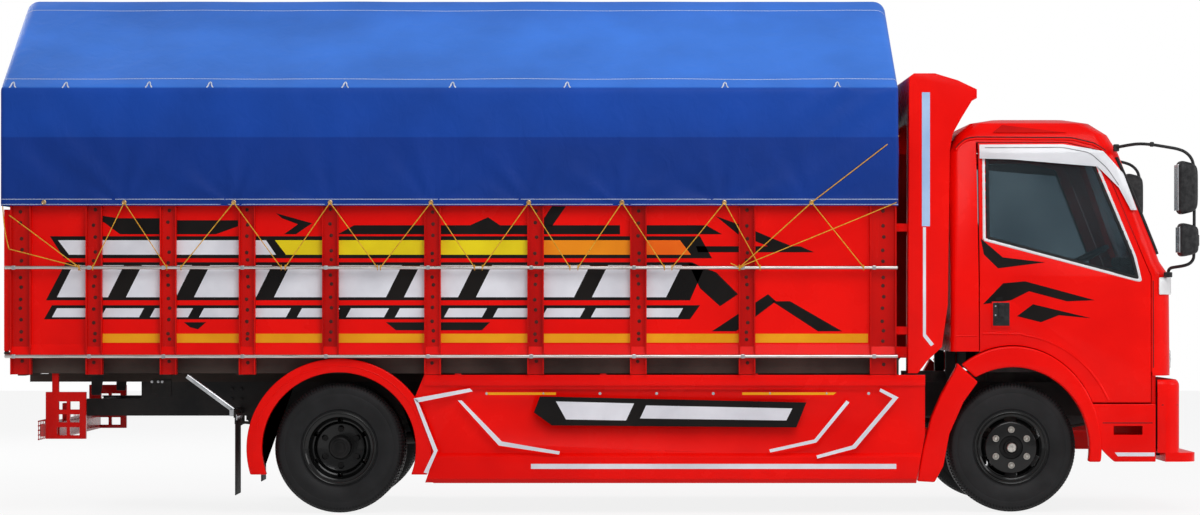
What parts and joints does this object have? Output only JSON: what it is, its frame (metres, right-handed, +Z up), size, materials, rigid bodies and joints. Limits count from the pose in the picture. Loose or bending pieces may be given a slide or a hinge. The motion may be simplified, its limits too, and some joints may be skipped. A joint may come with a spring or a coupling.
{
  "type": "decorated cargo truck",
  "caption": "Red cargo truck with a forward-control tilting cab, high ribbed side walls, a roped-down gabled blue cover and striped livery.",
  "frame": {"origin": "on the ground below the middle of the bounding box", "axes": "+X forward, +Y to the truck's left, +Z up"},
  "size_m": [7.41, 2.49, 3.25],
  "materials": {
    "chassis_paint": "satin",
    "engine_metal": "matte",
    "dark_paint": "satin",
    "red_paint": "gloss",
    "bright_steel": "brushed",
    "grey_paint": "satin",
    "blue_cloth": "woven",
    "black_rubber": "matte",
    "lamp_lens": "clear",
    "black_plastic": "matte",
    "seat_cloth": "woven",
    "tinted_glass": "tinted",
    "white_plastic": "gloss",
    "tyre_rubber": "matte"
  },
  "bodies": {
    "chassis": {"chassis_frame": "chassis_paint", "cross_members": "chassis_paint", "front_axle_beam": "chassis_paint", "leaf_springs": "chassis_paint", "rear_axle_housing": "chassis_paint", "engine_block": "engine_metal", "drive_shaft": "chassis_paint", "fuel_tank": "dark_paint", "battery_box": "chassis_paint", "silencer": "chassis_paint", "bed_floor": "red_paint", "side_walls": "red_paint", "wall_posts": "red_paint", "rub_rails": "bright_steel", "headboard": "red_paint", "cover_frame": "grey_paint", "tarpaulin": "blue_cloth", "cab_rear_fairing": "red_paint", "side_skirts": "red_paint", "rear_fenders": "red_paint", "mud_flaps": "black_rubber", "fender_stays": "bright_steel", "rear_bumper": "chassis_paint", "tail_lamps": "lamp_lens", "front_flare_rears": "red_paint", "front_bumper": "red_paint"},
    "cab": {"cab_shell": "red_paint", "cab_floor": "dark_paint", "engine_cover": "dark_paint", "cab_glass": "tinted_glass", "headlamps": "lamp_lens", "corner_lamps": "lamp_lens", "front_grille": "black_plastic", "mirrors": "black_plastic", "seats": "seat_cloth", "seat_bases": "dark_paint", "dashboard": "black_plastic", "steering_wheel": "black_plastic", "cab_wheel_flares": "red_paint", "entry_steps": "red_paint"},
    "door_right": {"door_right": "red_paint", "door_glass_right": "tinted_glass", "door_visor_right": "white_plastic"},
    "door_left": {"door_left": "red_paint", "door_glass_left": "tinted_glass", "door_visor_left": "white_plastic"},
    "tailgate": {"tailgate": "red_paint"},
    "knuckle_right": {"steering_knuckle_right": "chassis_paint"},
    "knuckle_left": {"steering_knuckle_left": "chassis_paint"},
    "tie_rod": {"tie_rod": "chassis_paint"},
    "wheel_front_right": {"front_tyre_right": "tyre_rubber", "front_rim_right": "dark_paint"},
    "wheel_front_left": {"front_tyre_left": "tyre_rubber", "front_rim_left": "dark_paint"},
    "wheel_rear_right": {"rear_twin_tyres_right": "tyre_rubber", "rear_twin_rims_right": "dark_paint"},
    "wheel_rear_left": {"rear_twin_tyres_left": "tyre_rubber", "rear_twin_rims_left": "dark_paint"}
  },
  "joints": [
    {"name": "cab_tilt", "type": "hinge", "parent": "chassis", "child": "cab", "pos_m": [3.548, 0, 0.76], "axis": [0, 1, 0], "range_deg": [0, 45]},
    {"name": "door_right_swing", "type": "hinge", "parent": "cab", "child": "door_right", "pos_m": [3.408, -1.014, 1.4], "axis": [0, 0, 1], "range_deg": [0, 70]},
    {"name": "door_left_swing", "type": "hinge", "parent": "cab", "child": "door_left", "pos_m": [3.408, 1.014, 1.4], "axis": [0, 0, -1], "range_deg": [0, 70]},
    {"name": "tailgate_fold", "type": "hinge", "parent": "chassis", "child": "tailgate", "pos_m": [-3.681, 0, 0.991], "axis": [0, -1, 0], "range_deg": [0, 170]},
    {"name": "steer_left", "type": "hinge", "parent": "chassis", "child": "knuckle_left", "pos_m": [2.56, 0.74, 0.402], "axis": [0, 0, 1], "range_deg": [-33, 33]},
    {"name": "steer_right", "type": "hinge", "parent": "chassis", "child": "knuckle_right", "pos_m": [2.56, -0.74, 0.402], "axis": [0, 0, 1], "range_deg": [-33, 33]},
    {"name": "tie_rod_shift", "type": "slide", "parent": "chassis", "child": "tie_rod", "axis": [0, 1, 0], "range_m": [-0.09, 0.09]},
    {"name": "wheel_front_right_spin", "type": "hinge", "parent": "knuckle_right", "child": "wheel_front_right", "pos_m": [2.56, -0.84, 0.402], "axis": [0, 1, 0], "continuous": true},
    {"name": "wheel_front_left_spin", "type": "hinge", "parent": "knuckle_left", "child": "wheel_front_left", "pos_m": [2.56, 0.84, 0.402], "axis": [0, 1, 0], "continuous": true},
    {"name": "wheel_rear_right_spin", "type": "hinge", "parent": "chassis", "child": "wheel_rear_right", "pos_m": [-1.615, -0.825, 0.402], "axis": [0, 1, 0], "continuous": true},
    {"name": "wheel_rear_left_spin", "type": "hinge", "parent": "chassis", "child": "wheel_rear_left", "pos_m": [-1.615, 0.825, 0.402], "axis": [0, 1, 0], "continuous": true}
  ],
  "couplings": [
    {"joint": "steer_right", "follows": "steer_left", "ratio": 1},
    {"joint": "tie_rod_shift", "follows": "steer_left", "m_per_rad": -0.143}
  ]
}
